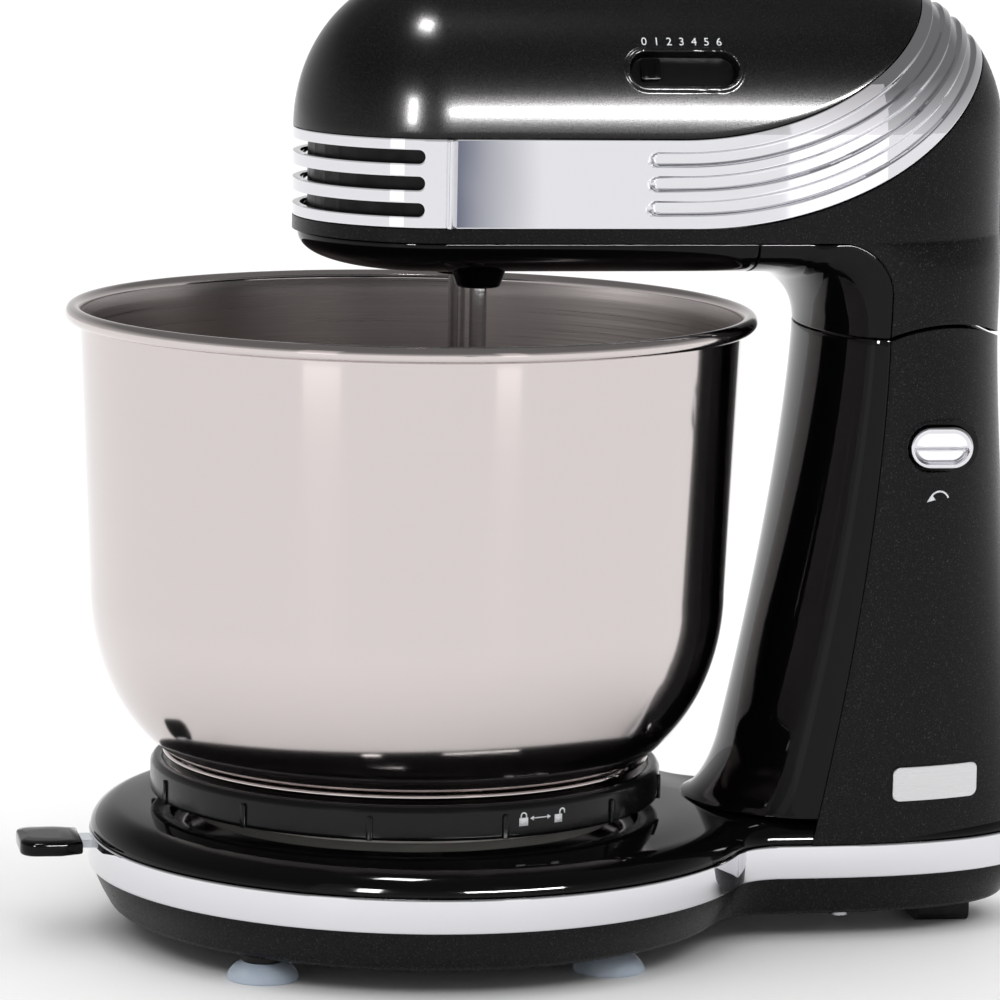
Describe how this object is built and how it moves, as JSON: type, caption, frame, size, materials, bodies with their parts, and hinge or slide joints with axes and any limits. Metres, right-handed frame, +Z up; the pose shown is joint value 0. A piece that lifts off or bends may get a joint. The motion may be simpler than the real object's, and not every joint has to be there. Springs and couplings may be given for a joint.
{
  "type": "stand mixer",
  "caption": "Tilt-head stand mixer: steel bowl on a turntable, twin beaters driven by a worm gearbox, sprung tilt button, speed slider and press lever.",
  "frame": {"origin": "centre of the bounding box at the height the feet stand on", "axes": "+Z up, +Y from the press lever at the front to the column at the back, +X to the side with the slider and the tilt button"},
  "size_m": [0.206, 0.3084, 0.2875],
  "materials": {
    "speckled_plastic": "semi-gloss dark grey-black with a fine pale speckle",
    "gloss_black": "piano gloss black",
    "gloss_flake": "gloss black with a very fine flake",
    "chrome": "polished",
    "foot_silicone": "translucent blue-grey",
    "black_rubber": "matt",
    "matte_black": "satin",
    "collar_black": "satin gloss, white lock marks",
    "plated_steel": "zinc plated",
    "spring_steel": "drawn wire",
    "bowl_steel": "polished outside, brushed round the inside",
    "beater_steel": "polished wire",
    "badge_metal": "plain satin plate",
    "white_nylon": "natural nylon",
    "switch_board": "solder mask",
    "die_cast": "as cast",
    "motor_steel": "stacked sheet",
    "bronze": "sintered",
    "clear_stem": "clear plastic"
  },
  "bodies": {
    "base": {"base_tray": "speckled_plastic", "base_trim_band": "chrome", "base_deck": "gloss_black", "suction_feet": "foot_silicone", "rear_foot": "black_rubber", "base_screws": "plated_steel", "column_front_cover": "gloss_black", "column_side_shell": "speckled_plastic", "column_top_cap": "matte_black", "hinge_bracket": "plated_steel", "hinge_pin": "plated_steel", "turntable_spindle": "plated_steel", "glide_ring": "white_nylon", "cord_gland": "black_rubber", "badge_plate": "badge_metal", "button_bezel": "matte_black", "lever_pin": "plated_steel", "button_spring": "spring_steel", "lever_spring": "spring_steel"},
    "turntable": {"turntable_collar": "collar_black"},
    "bowl": {"bowl": "bowl_steel", "bowl_foot": "bowl_steel"},
    "head": {"head_top_shell": "gloss_flake", "head_lower_shell": "speckled_plastic", "belly_cover": "gloss_black", "neck_cover": "gloss_black", "front_grille": "chrome", "chrome_band": "chrome", "vent_baffle": "matte_black", "slider_bezel": "matte_black", "speed_switch": "switch_board", "beater_sockets": "matte_black", "gearbox_housing": "die_cast", "head_chassis": "die_cast", "motor_field": "motor_steel", "motor_bearings": "bronze", "head_screws": "plated_steel", "rear_vent": "matte_black"},
    "motor_rotor": {"motor_shaft": "plated_steel", "armature": "motor_steel", "cooling_fan": "matte_black"},
    "left_drive": {"left_worm_wheel": "white_nylon", "left_spindle": "plated_steel", "left_beater": "beater_steel"},
    "right_drive": {"right_worm_wheel": "white_nylon", "right_spindle": "plated_steel", "right_beater": "beater_steel"},
    "speed_slider": {"speed_knob": "gloss_black"},
    "tilt_release": {"tilt_button": "chrome", "lock_bar": "plated_steel"},
    "press_lever": {"lever_paddle": "gloss_black", "lever_stem": "clear_stem"}
  },
  "joints": [
    {"name": "head_tilt", "type": "hinge", "parent": "base", "child": "head", "pos_m": [0, 0.11725, 0.1372], "axis": [-1, 0, 0], "range_deg": [0, 45]},
    {"name": "turntable_spin", "type": "hinge", "parent": "base", "child": "turntable", "pos_m": [0, -0.03775, 0.04], "axis": [0, 0, 1], "continuous": true},
    {"name": "bowl_twist_lock", "type": "hinge", "parent": "turntable", "child": "bowl", "pos_m": [0, -0.03775, 0.045], "axis": [0, 0, 1], "range_deg": [0, 18]},
    {"name": "motor_spin", "type": "hinge", "parent": "head", "child": "motor_rotor", "pos_m": [0, 0.06225, 0.2408], "axis": [0, 1, 0], "continuous": true},
    {"name": "left_beater_spin", "type": "hinge", "parent": "head", "child": "left_drive", "pos_m": [-0.019, -0.02115, 0.2], "axis": [0, 0, 1], "continuous": true},
    {"name": "right_beater_spin", "type": "hinge", "parent": "head", "child": "right_drive", "pos_m": [0.019, -0.02115, 0.2], "axis": [0, 0, 1], "continuous": true},
    {"name": "speed_slide", "type": "slide", "parent": "head", "child": "speed_slider", "axis": [0, 1, 0], "range_m": [0, 0.0202]},
    {"name": "tilt_press", "type": "slide", "parent": "base", "child": "tilt_release", "axis": [-1, 0, 0], "range_m": [0, 0.0035], "stiffness_N_per_m": 500, "deforming": ["button_spring"]},
    {"name": "lever_press", "type": "hinge", "parent": "base", "child": "press_lever", "pos_m": [0, -0.11775, 0.0274], "axis": [1, 0, 0], "range_deg": [0, 5], "stiffness_Nm_per_rad": 0.2, "deforming": ["lever_spring"]}
  ],
  "couplings": [
    {"joint": "left_beater_spin", "follows": "motor_spin", "ratio": 0.071429},
    {"joint": "right_beater_spin", "follows": "motor_spin", "ratio": -0.071429}
  ]
}
